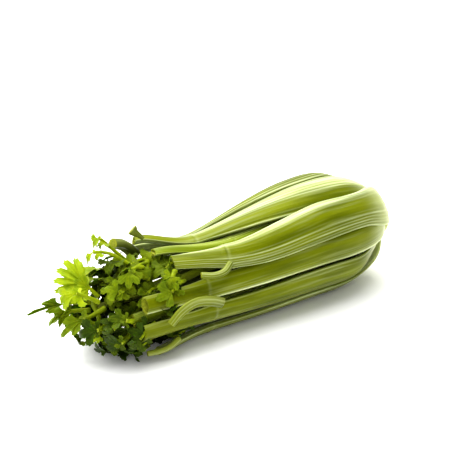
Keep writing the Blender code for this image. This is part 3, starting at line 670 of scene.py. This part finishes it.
def leaflet_part(base, forward, up, length, look, rng, narrow=1.0):
    """A thin closed leaflet that fans out from its base, folded along its veins and curled."""
    curl, bright, lobes = look
    rows, columns = LEAFLET_ROWS, LOBE_COLUMNS * lobes + 1
    spread = rng.uniform(1.15, 1.45)
    angle = np.linspace(-spread, spread, columns)
    outline, vein_side = leaflet_outline(angle, spread, lobes, rng)
    rho = np.linspace(0.03, 1, rows)[:, None]
    fan = angle[None, :] * (0.62 + 0.38 * rho)
    x = rho * outline * length * np.cos(fan * 0.85)
    y = rho * outline * length * np.sin(fan * 0.85) * rng.uniform(0.8, 1.0) * narrow
    z = -0.030 * length * rho * np.cos(np.clip(vein_side, -1, 1) * np.pi)[None, :]
    phase = rng.uniform(0, 6, 3)
    z = z + 0.07 * length * rho**2 * np.sin(angle[None, :] * 3.2 + phase[0] + 2 * rho)
    z = z + 0.035 * length * rho**3 * np.sin(angle[None, :] * 11 + phase[1])
    bend, cup = curl / length * rng.uniform(0.6, 1.1), rng.normal(0.5, 0.5) / length
    turned = np.sin(bend * x) / bend
    z = z * np.cos(bend * x) - (1 - np.cos(bend * x)) / bend + 0.5 * cup * y**2
    side = np.cross(up, forward)
    middle = base + turned[..., None] * forward + y[..., None] * side + z[..., None] * up
    normal = unit(np.cross(np.gradient(middle, axis=0), np.gradient(middle, axis=1)) + 1e-12)
    edge = np.maximum(rho**6 * np.ones(columns), (np.abs(angle) / spread)[None, :] ** 12)
    thick = LEAFLET_THICKNESS * (1 - 0.6 * edge)
    midrib = np.exp(-((vein_side[None, :] * (0.25 + rho) / 0.11) ** 2)) * (1 - 0.4 * rho)
    branch = np.abs(((rho * 5 - np.abs(vein_side)[None, :] * 1.3) % 1) - 0.5) * 2
    veins = np.clip(midrib + 0.55 * np.clip((branch - 0.80) / 0.2, 0, 1) * (rho > 0.15), 0, 1)
    offset = (thick / 2)[..., None] * normal
    skins = np.concatenate([middle + offset + (VEIN_HEIGHT * veins)[..., None] * normal, middle - offset])
    skins[..., 2] = np.maximum(skins[..., 2], FLOOR_CLEARANCE)
    count, faces = rows * columns, []
    for i in range(rows - 1):
        for j in range(columns - 1):
            a = i * columns + j
            faces.append([a, a + columns, a + columns + 1, a + 1])
            faces.append([count + a, count + a + 1, count + a + columns + 1, count + a + columns])
    loop = list(range(columns)) + [i * columns + columns - 1 for i in range(1, rows)]
    loop += [(rows - 1) * columns + j for j in range(columns - 2, -1, -1)]
    loop += [i * columns for i in range(rows - 2, 0, -1)]
    for a, b in zip(loop, loop[1:] + loop[:1]):
        faces.append([a, b, count + b, count + a])
    attributes = {
        "blade": np.ones(2 * count),
        "vein": np.tile(veins.reshape(-1), 2),
        "edge": np.tile(edge.reshape(-1), 2),
        "bright": np.full(2 * count, bright + rng.normal(0, 0.07)),
    }
    return skins.reshape(-1, 3), faces, attributes


STUB_FANS = {"side_stem_top": 1.8, "side_stem_upper_back": 0.15}  # how far a stub opens toward its cut end


SIDE_STEM_SAMPLES, SIDE_STEM_RIBS, SIDE_STEM_SIDES = 60, 5, 48


def make_side_stems(material):
    rng = np.random.default_rng(17)
    grow = np.linspace(0, 1, SIDE_STEM_SAMPLES)
    for name, width, thickness, points in SIDE_STEMS:
        path = curve_through(points, SIDE_STEM_SAMPLES)
        fan = STUB_FANS.get(name, 0.0) * grow**2
        widths = width * (1.12 - 0.14 * grow + 0.03 * np.sin(grow * 9) + 0.4 * fan)
        thicknesses = thickness * (1.05 - 0.1 * grow + fan)
        part = stem_part(path, widths, thicknesses, SIDE_STEM_RIBS, rng, SIDE_STEM_SIDES)
        add_piece(name + "_skin", part, material, name)


LEAF_OVERHANG = 0.004  # how far a leaflet may pass the CAD model's box
LEAF_SAMPLES, LEAF_SIDES, LEAF_STEM_RIBS = 40, 20, 4


def kept_near_box(part):
    """A part with its points held near the CAD model's box and off the floor."""
    points, faces, attributes = part
    low, high = np.array(cad_box)
    points = np.clip(points, low - LEAF_OVERHANG, high + LEAF_OVERHANG)
    points[:, 2] = np.maximum(points[:, 2], FLOOR_CLEARANCE)
    return points, faces, attributes


def make_leaf(name, width, share, roll, points, material, rng):
    """A stem with pairs of leaflets and one at its tip."""
    length, pairs, curl, bright, lobes, facing = LEAF_LOOKS[name]
    path = curve_through(points, LEAF_SAMPLES)
    along, outward, sideways = path_frame(path)
    tip = int((LEAF_SAMPLES - 1) * (1 - 0.80 * share))
    grow = np.linspace(0, 1, tip + 1)
    widths = 0.0048 - 0.0018 * grow
    rest = np.linalg.norm(path[-1] - path[tip])
    parts = [stem_part(path[: tip + 1], widths, widths * 0.8, LEAF_STEM_RIBS, rng, LEAF_SIDES)]
    parts[0][2]["bright"] = np.full(len(parts[0][0]), bright)
    turn = math.radians(roll)
    spots = [(tip, 0.0, 1.0)]
    for pair in range(pairs):
        at = int(tip * (0.82 - 0.30 * pair))
        spots += [(at, 1.0, 0.80 - 0.1 * pair), (at, -1.0, 0.80 - 0.1 * pair)]
    for at, lean, size in spots:
        up = outward[at] * math.cos(turn) - sideways[at] * math.sin(turn) + rng.normal(0, 0.22, 3)
        up = up * (1 - facing) + FACING * facing * 1.6
        heading = along[at] + 0.5 * TOWARD_TIP + sideways[at] * lean * rng.uniform(0.9, 1.5)
        ahead = unit(heading + rng.normal(0, 0.16, 3))
        up = unit(up - (up @ ahead) * ahead)
        look = (curl, bright, lobes)
        reach, narrow = length * size * rng.uniform(0.85, 1.1), 1.0
        if lean == 0.0:
            ahead = unit(path[-1] - path[at] + rng.normal(0, 0.0008, 3))
            up = unit(up - (up @ ahead) * ahead)
            reach = max(rest, 0.6 * length)
            narrow = float(np.clip(0.95 * width / reach, 0.26, 1.0))
        parts.append(leaflet_part(path[at], ahead, up, reach, look, rng, narrow))
    add_piece(name + "_blades", kept_near_box(merged(parts)), material, name)


def make_leaves(material):
    rng = np.random.default_rng(29)
    for name, width, share, roll, points in LEAVES:
        make_leaf(name, width, share, roll, points, material, rng)


# Rings and arcs of small sprigs wedged between the stalks' cut ends: (sprigs, d of their roots, r, stem
# length, leaflet length, angle of the first one, angle that they cover, added brightness, which is painted
# light on the arcs near the top and painted shade on the others).
SPRIG_RINGS = (
    (12, 0.228, 0.0320, 0.018, 0.0170, 12, 360, -0.02),
    (9, 0.246, 0.0200, 0.018, 0.0160, 35, 360, -0.06),
    (4, 0.266, 0.0080, 0.016, 0.0155, 80, 360, -0.04),
    (8, 0.252, 0.0370, 0.018, 0.0180, -78, 100, 0.02),
    (6, 0.270, 0.0250, 0.018, 0.0170, -70, 110, 0.06),
    (9, 0.264, 0.0315, 0.018, 0.0160, 96, 190, -0.10),
    (6, 0.280, 0.0200, 0.016, 0.0150, 80, 200, -0.12),
)  # fmt: skip


SPRIG_SAMPLES, SPRIG_SIDES = 24, 16
SPRIG_WIDTHS = np.linspace(0.0038, 0.0026, SPRIG_SAMPLES)
SPRIG_THICKNESSES = np.linspace(0.0032, 0.0022, SPRIG_SAMPLES)
SPRIG_LEAFLETS = ((23, 0.0), (17, 1.0), (15, -1.0), (9, 0.8))  # (point along the stem, lean to the side)


def sprig_part(angle, root, r, reach, length, painted_light_shade, rng):
    """A short stem with four leaflets, with painted light that makes it brighter near the top of the head."""
    height = (1 + math.cos(math.radians(angle))) / 2
    start = root + rng.normal(0, 0.004)
    steps = np.linspace(0, 1, 4)
    radii = r + rng.uniform(0.002, 0.007) * steps
    path = curve_through(np.stack([start + reach * steps, angle + 9 * steps**2, radii], -1), SPRIG_SAMPLES)
    along, outward, sideways = path_frame(path)
    parts = [stem_part(path, SPRIG_WIDTHS, SPRIG_THICKNESSES, LEAF_STEM_RIBS, rng, SPRIG_SIDES)]
    # Painted light and shade: brighter toward the top of the head, plus the ring's own painted light and shade.
    bright = -0.02 + 0.38 * height**1.5 + painted_light_shade + rng.normal(0, 0.08)
    parts[0][2]["bright"] = np.full(len(parts[0][0]), bright)
    for at, lean in SPRIG_LEAFLETS:
        heading = along[at] + sideways[at] * lean * rng.uniform(0.8, 1.5)
        ahead = unit(heading + rng.normal(0, 0.25, 3))
        up = outward[at] + rng.normal(0, 0.35, 3)
        up = unit(up - (up @ ahead) * ahead)
        look = (rng.uniform(1.5, 2.7), bright, 3)
        parts.append(leaflet_part(path[at], ahead, up, length * rng.uniform(0.75, 1.1), look, rng))
    return kept_near_box(merged(parts))


def make_sprigs(material):
    rng = np.random.default_rng(53)
    for ring, (count, root, r, reach, length, first, arc, painted_light_shade) in enumerate(SPRIG_RINGS):
        for i in range(count):
            angle = first + arc * i / count + rng.normal(0, 5)
            part = sprig_part(angle, root, r, reach, length, painted_light_shade, rng)
            add_piece(f"leaf_sprig_{ring}_{i}", part, material)


# The curved joins on the cut face: how many, where the first lies, the step to the next, half the angle
# that one covers and how far its ends turn in.
CRESCENTS = 11
CRESCENT_FIRST, CRESCENT_STEP, CRESCENT_HALF, CRESCENT_TURN = 0.0030, 0.0014, 1.15, 0.0022
GOLDEN_ANGLE = math.radians(137.5)
JOIN_WIDTH, JOIN_DEPTH, FACE_DEPTH = 0.00045, 0.00045, 0.00025
FACE_LIMIT = 0.0002  # rows of the butt at a smaller d than this lie on its cut face
BUTT_SIDES, FACE_ROWS, RIM_ROWS = 144, 64, 26


def make_butt(material):
    """A turned disc whose cut face shows the sunken joins between the stalk bases."""
    turn = np.linspace(0, 2 * np.pi, BUTT_SIDES, endpoint=False)
    rows = [(0.0, BUTT_PROFILE[1][1] * share) for share in np.linspace(0.02, 1, FACE_ROWS)]
    rim = np.array(BUTT_PROFILE[1:-1])
    steps = np.linspace(0, len(rim) - 1, RIM_ROWS)[1:]
    rows += [tuple(np.interp(t, range(len(rim)), rim[:, k]) for k in (0, 1)) for t in steps]
    centre = place(np.array([0.0]), np.array([0.0]), np.array([0.0]))[0]
    points, join = [], []
    for d, r in rows:
        on_face = d < FACE_LIMIT
        crescent = np.zeros(BUTT_SIDES)
        for k in range(CRESCENTS):
            away = (turn - k * GOLDEN_ANGLE + np.pi) % (2 * np.pi) - np.pi
            line = CRESCENT_FIRST + CRESCENT_STEP * k - CRESCENT_TURN * (away / CRESCENT_HALF) ** 2
            near = np.exp(-(((r - line) / JOIN_WIDTH) ** 2)) * (np.abs(away) < CRESCENT_HALF)
            crescent = np.maximum(crescent, near * on_face)
        uneven = 0.00022 * np.sin(turn * 3 + r * 400) + 0.00012 * np.sin(turn * 11 - r * 900)
        depth = d + (JOIN_DEPTH * crescent + uneven + FACE_DEPTH) * on_face
        y, z = r * np.sin(turn) + SHIFT[1], centre[2] + r * np.cos(turn)
        points.append(np.stack([centre[0] - depth, y, z], -1))
        join.append(crescent)
    face = np.repeat([float(d < FACE_LIMIT) for d, _ in rows], BUTT_SIDES)
    attributes = {"join": np.array(join).reshape(-1), "face": face}
    part = np.array(points).reshape(-1, 3), closed_tube_faces(len(rows), BUTT_SIDES), attributes
    add_piece("butt_skin", part, material, "butt")


# ---- Materials ----------------------------------------------------------------------------------


class Nodes:
    """Short calls for building a material's node tree."""

    def __init__(self, name):
        self.material = bpy.data.materials.new(name)
        self.material.use_nodes = True
        self.tree = self.material.node_tree
        self.shader = self.tree.nodes["Principled BSDF"]

    def link(self, source, target):
        self.tree.links.new(source, target)

    def node(self, kind, **settings):
        node = self.tree.nodes.new(kind)
        for key, value in settings.items():
            setattr(node, key, value)
        return node

    def feed(self, socket, value):
        if isinstance(value, bpy.types.NodeSocket):
            self.link(value, socket)
        else:
            socket.default_value = value

    def attribute(self, name):
        return self.node("ShaderNodeAttribute", attribute_name=name).outputs["Fac"]

    def math(self, operation, *values, clamp=False):
        node = self.node("ShaderNodeMath", operation=operation, use_clamp=clamp)
        for socket, value in zip(node.inputs, values):
            self.feed(socket, value)
        return node.outputs[0]

    def vector(self, x, y, z):
        node = self.node("ShaderNodeCombineXYZ")
        for socket, value in zip(node.inputs, (x, y, z)):
            self.feed(socket, value)
        return node.outputs[0]

    def noise(self, vector, scale, detail=3.0, roughness=0.55):
        node = self.node("ShaderNodeTexNoise")
        self.link(vector, node.inputs["Vector"])
        node.inputs["Scale"].default_value = scale
        node.inputs["Detail"].default_value = detail
        node.inputs["Roughness"].default_value = roughness
        return node.outputs["Fac"]

    def span(self, value, low, high, to_low=0.0, to_high=1.0):
        node = self.node("ShaderNodeMapRange", interpolation_type="SMOOTHSTEP")
        self.feed(node.inputs["Value"], value)
        for key, number in zip(("From Min", "From Max", "To Min", "To Max"), (low, high, to_low, to_high)):
            node.inputs[key].default_value = number
        return node.outputs[0]

    def mix(self, share, first, second, blend="MIX"):
        node = self.node("ShaderNodeMix", data_type="RGBA", blend_type=blend)
        self.feed(node.inputs[0], share)
        for socket, value in ((node.inputs[6], first), (node.inputs[7], second)):
            self.feed(socket, (*value, 1.0) if isinstance(value, tuple) else value)
        return node.outputs[2]

    def bump(self, height, strength, distance):
        node = self.node("ShaderNodeBump")
        node.inputs["Strength"].default_value = strength
        node.inputs["Distance"].default_value = distance
        self.link(height, node.inputs["Height"])
        return node.outputs[0]

    def finish(self, colour, roughness, normal, surface):
        """Feed the shader and set its other inputs."""
        for key, socket in (("Base Color", colour), ("Roughness", roughness), ("Normal", normal)):
            self.link(socket, self.shader.inputs[key])
        for key, value in surface.items():
            self.shader.inputs[key].default_value = value
        return self.material


# The stalks' colours: (deep green, fresh green, ribs and painted highlight, base, seed of the pattern).
STALK_COLOURS = {
    "outer_stalk": ((0.068, 0.088, 0.0001), (0.150, 0.176, 0.0002), (0.78, 0.86, 0.50), (0.64, 0.69, 0.34), 1.0),
    "inner_stalk": ((0.10, 0.14, 0.0008), (0.18, 0.23, 0.002), (0.66, 0.74, 0.30), (0.40, 0.44, 0.13), 21.0),
    "heart_stalk": ((0.18, 0.23, 0.003), (0.27, 0.32, 0.012), (0.52, 0.56, 0.18), (0.48, 0.50, 0.20), 43.0),
}
PITH, MOIST_PITH = ((0.17, 0.19, 0.010), (0.27, 0.29, 0.025)), (0.085, 0.105, 0.003)
STALK_SURFACE = {
    "Subsurface Weight": 0.12, "Subsurface Radius": (0.6, 1.0, 0.2), "Subsurface Scale": 0.004,
    "Specular IOR Level": 0.24, "Specular Tint": (0.90, 1.0, 0.15, 1.0),
}  # fmt: skip

# The darkest and the brightest leaves, each as a pair that a cloudy pattern mixes, and what goes on them. The dark
# pair carries painted shade and the bright pair painted light, on top of the leaves' tone.
DARK_SHADED_LEAF, BRIGHT_LIT_LEAF = ((0.006, 0.020, 0.0003), (0.022, 0.046, 0.0005)), ((0.20, 0.28, 0.002), (0.34, 0.41, 0.004))
VEIN_COLOUR, EDGE_COLOUR = (0.34, 0.42, 0.02), (0.34, 0.46, 0.06)
STEM_COLOUR, STEM_CUT_COLOUR = ((0.055, 0.085, 0.0008), (0.24, 0.30, 0.004)), (0.34, 0.38, 0.04)
LEAF_SURFACE = {
    "Subsurface Weight": 0.15, "Subsurface Radius": (0.6, 1.0, 0.1), "Subsurface Scale": 0.002,
    "Specular IOR Level": 0.22, "Specular Tint": (0.85, 1.0, 0.25, 1.0),
}  # fmt: skip

BUTT_FACE, BUTT_SIDE = ((0.62, 0.60, 0.34), (0.50, 0.52, 0.22)), ((0.58, 0.62, 0.30), (0.44, 0.46, 0.16))
BUTT_GRAIN, BUTT_JOIN = (0.34, 0.28, 0.10), (0.24, 0.20, 0.06)
BUTT_SURFACE = {"Subsurface Weight": 0.1, "Subsurface Scale": 0.003}


def stalk_material(name, deep, fresh, pale_and_highlight_colour, base_colour, seed):
    """Green skin with fibres, pale ribs that also carry a painted highlight, a pale base, and moist pith where the
    stalk is cut.
    """
    n = Nodes(name)
    across, along = n.attribute("across"), n.attribute("along")
    pale, base, cut = n.attribute("pale"), n.attribute("base"), n.attribute("cut")
    inner, joint = n.attribute("inner"), n.attribute("joint")
    fibres = n.noise(n.vector(across, n.math("MULTIPLY", along, 0.02), seed), 1300.0, 3.0)
    streaks = n.noise(n.vector(across, n.math("MULTIPLY", along, 0.05), seed + 3.0), 260.0, 2.0)
    blotches = n.noise(n.vector(across, n.math("MULTIPLY", along, 0.10), seed + 7.0), 95.0, 3.0)
    specks = n.noise(n.vector(across, n.math("MULTIPLY", along, 0.35), seed + 11.0), 1500.0, 2.0)

    green = n.mix(n.span(blotches, 0.3, 0.72), deep, fresh)
    green = n.mix(n.span(streaks, 0.48, 0.80, 0.0, 0.13), green, pale_and_highlight_colour)
    # Pale ribs, which on the upper faces of the top stalks are a painted highlight.
    rib_and_highlight = n.math("MULTIPLY", pale, n.span(fibres, 0.2, 0.7, 0.55, 1.0))
    skin = n.mix(n.math("MULTIPLY", n.math("POWER", rib_and_highlight, 1.5), 0.92), green, pale_and_highlight_colour)
    skin = n.mix(n.math("MULTIPLY", n.span(specks, 0.62, 0.8), 0.25), skin, deep)
    skin = n.mix(n.math("MULTIPLY", inner, 0.22), skin, pale_and_highlight_colour)
    skin = n.mix(n.math("MULTIPLY", n.math("POWER", base, 1.6), 0.75), skin, base_colour)
    skin = n.mix(n.math("MULTIPLY", joint, 0.07), skin, pale_and_highlight_colour)

    bundles = n.node("ShaderNodeTexVoronoi")
    position = n.node("ShaderNodeNewGeometry").outputs["Position"]
    n.link(position, bundles.inputs["Vector"])
    bundles.inputs["Scale"].default_value = 900.0
    pith = n.mix(n.span(bundles.outputs["Distance"], 0.1, 0.5), *PITH)
    moist = n.noise(position, 300.0, 3.0)
    pith = n.mix(n.span(moist, 0.35, 0.75, 0.0, 0.6), pith, MOIST_PITH)
    colour = n.mix(cut, skin, pith)

    rough = n.math("ADD", n.span(fibres, 0.3, 0.7, 0.27, 0.36), n.span(blotches, 0.3, 0.7, 0.0, 0.10))
    rough = n.math("ADD", rough, n.math("MULTIPLY", cut, 0.15))
    relief = n.math("ADD", fibres, n.math("MULTIPLY", specks, 0.35))
    return n.finish(colour, rough, n.bump(relief, 0.35, 0.00025), STALK_SURFACE)


def leaf_material():
    """Leaf blades with pale veins, and the smooth stems that carry them, with painted light and shade in their
    greens.
    """
    n = Nodes("leaf_blade")
    blade, vein = n.attribute("blade"), n.attribute("vein")
    edge, bright = n.attribute("edge"), n.attribute("bright")
    position = n.node("ShaderNodeNewGeometry").outputs["Position"]
    cloud = n.noise(position, 160.0, 3.0)
    cells = n.noise(position, 1600.0, 2.0)
    # Dark and light greens: the leaf's tone with painted shade and painted light.
    shaded_dark = n.mix(n.span(cloud, 0.3, 0.7), *DARK_SHADED_LEAF)
    light = n.mix(n.span(cloud, 0.3, 0.7), *BRIGHT_LIT_LEAF)
    green = n.mix(n.math("ADD", bright, 0.0, clamp=True), shaded_dark, light)
    lit = n.math("ADD", n.math("MULTIPLY", bright, 0.40, clamp=True), 0.06)
    green = n.mix(n.math("MULTIPLY", vein, lit), green, VEIN_COLOUR)
    green = n.mix(n.math("MULTIPLY", n.math("MULTIPLY", edge, 0.5), lit), green, EDGE_COLOUR)
    stem = n.mix(n.span(cloud, 0.3, 0.7), *STEM_COLOUR)
    # Stems of lighter leaves get lighter too, as painted light.
    stem = n.mix(n.math("MULTIPLY", bright, 0.6, clamp=True), stem, STEM_COLOUR[1])
    stem = n.mix(n.attribute("cut"), stem, STEM_CUT_COLOUR)
    colour = n.mix(blade, stem, green)
    rough = n.span(cells, 0.3, 0.7, 0.38, 0.55)
    relief = n.math("ADD", cells, n.math("MULTIPLY", vein, 0.8))
    return n.finish(colour, rough, n.bump(relief, 0.5, 0.0003), LEAF_SURFACE)


def butt_material():
    """A cream cut face that has browned a little along the joins and at its rim."""
    n = Nodes("butt_cut")
    join, face = n.attribute("join"), n.attribute("face")
    position = n.node("ShaderNodeNewGeometry").outputs["Position"]
    cloud, grain = n.noise(position, 140.0, 4.0), n.noise(position, 1500.0, 3.0)
    cream = n.mix(n.span(cloud, 0.3, 0.7), *BUTT_FACE)
    cream = n.mix(n.math("MULTIPLY", n.span(grain, 0.55, 0.75), 0.45), cream, BUTT_GRAIN)
    cream = n.mix(n.math("MULTIPLY", join, 0.65), cream, BUTT_JOIN)
    side = n.mix(n.span(cloud, 0.35, 0.65), *BUTT_SIDE)
    colour = n.mix(face, side, cream)
    rough = n.span(grain, 0.3, 0.7, 0.48, 0.68)
    return n.finish(colour, rough, n.bump(grain, 0.6, 0.0003), BUTT_SURFACE)


# ---- The piece list -----------------------------------------------------------------------------


# (kind, stalks, their path, their section, samples along and across)
STALK_KINDS = (
    ("outer_stalk", OUTER_STALKS, OUTER_MERIDIAN, OUTER_SECTION, (190, 121)),
    ("inner_stalk", INNER_STALKS, INNER_MERIDIAN, INNER_SECTION, (120, 71)),
    ("heart_stalk", HEART_STALKS, HEART_MERIDIAN, HEART_SECTION, (90, 41)),
)


def make_stalks():
    """All the stalks. The outer ones' material comes back, as the side stems share it."""
    rng = np.random.default_rng(41)
    skins = {kind: stalk_material(kind + "_skin", *colours) for kind, colours in STALK_COLOURS.items()}
    for kind, stalks, meridian, section, fine in STALK_KINDS:
        for stalk in stalks:
            part = stalk_part(stalk, meridian, section, fine, rng)
            add_piece(stalk[0] + "_skin", part, skins[kind], stalk[0])
    return skins["outer_stalk"]


# ---- Stage --------------------------------------------------------------------------------------

VIEW_AZIMUTH, VIEW_ELEVATION = -36.0, 25.0
VIEW_DISTANCE, VIEW_LENS = 1.1, 103.0
VIEW_TARGET = (0.0015, 0.0, 0.0855)


FLOOR_SIZE, FLOOR_COLOUR, FLOOR_ROUGHNESS = 6, (0.93, 0.93, 0.93, 1), 0.9
SUN_PLACE, SUN_STRENGTH, SUN_ANGLE = (-0.20, 0.55, 1.25), 4.5, math.radians(85)
SOFT_LIGHTS = (("top", (0.10, 0.40, 1.20), 0.7, 7.0), ("fill", (-0.9, -1.2, 0.75), 1.0, 3.0))  # place, size, power
SOFT_TARGET = (0.0, 0.0, 0.05)
SKY_STRENGTH = 0.60


def add_aimed(name, data, location, target):
    """A camera or a light, turned to look at the target."""
    thing = bpy.data.objects.new(name, data)
    thing.location = location
    thing.rotation_euler = (Vector(target) - thing.location).to_track_quat("-Z", "Y").to_euler()
    bpy.context.scene.collection.objects.link(thing)
    return thing


def make_stage():
    """The photo's camera, a white floor, the lights and the sky."""
    target = Vector(VIEW_TARGET) + Vector(SHIFT)
    a, e = math.radians(VIEW_AZIMUTH), math.radians(VIEW_ELEVATION)
    back = Vector((math.sin(a) * math.cos(e), -math.cos(a) * math.cos(e), math.sin(e)))
    camera = add_aimed("camera", bpy.data.cameras.new("camera"), target + back * VIEW_DISTANCE, target)
    camera.data.lens = VIEW_LENS
    bpy.context.scene.camera = camera

    bpy.ops.mesh.primitive_plane_add(size=FLOOR_SIZE)
    floor = bpy.context.object
    floor.name = "floor"
    n = Nodes("floor")
    n.shader.inputs["Base Color"].default_value = FLOOR_COLOUR
    n.shader.inputs["Roughness"].default_value = FLOOR_ROUGHNESS
    floor.data.materials.append(n.material)

    sun = add_aimed("key", bpy.data.lights.new("key", "SUN"), SUN_PLACE, (0.0, 0.0, 0.0))
    sun.data.energy, sun.data.angle = SUN_STRENGTH, SUN_ANGLE
    for name, spot, size, power in SOFT_LIGHTS:
        light = add_aimed(name, bpy.data.lights.new(name, "AREA"), spot, SOFT_TARGET)
        light.data.size, light.data.energy = size, power

    world = bpy.data.worlds.new("studio")
    world.use_nodes = True
    sky = world.node_tree.nodes["Background"].inputs
    sky["Color"].default_value = (1, 1, 1, 1)
    sky["Strength"].default_value = SKY_STRENGTH
    bpy.context.scene.world = world
    bpy.context.scene.view_settings.view_transform = "Standard"
    bpy.context.scene.view_settings.look = "Medium High Contrast"


stem_skin = make_stalks()
make_side_stems(stem_skin)
blade = leaf_material()
make_leaves(blade)
make_sprigs(blade)
make_butt(butt_material())
make_stage()

bpy.context.view_layer.update()
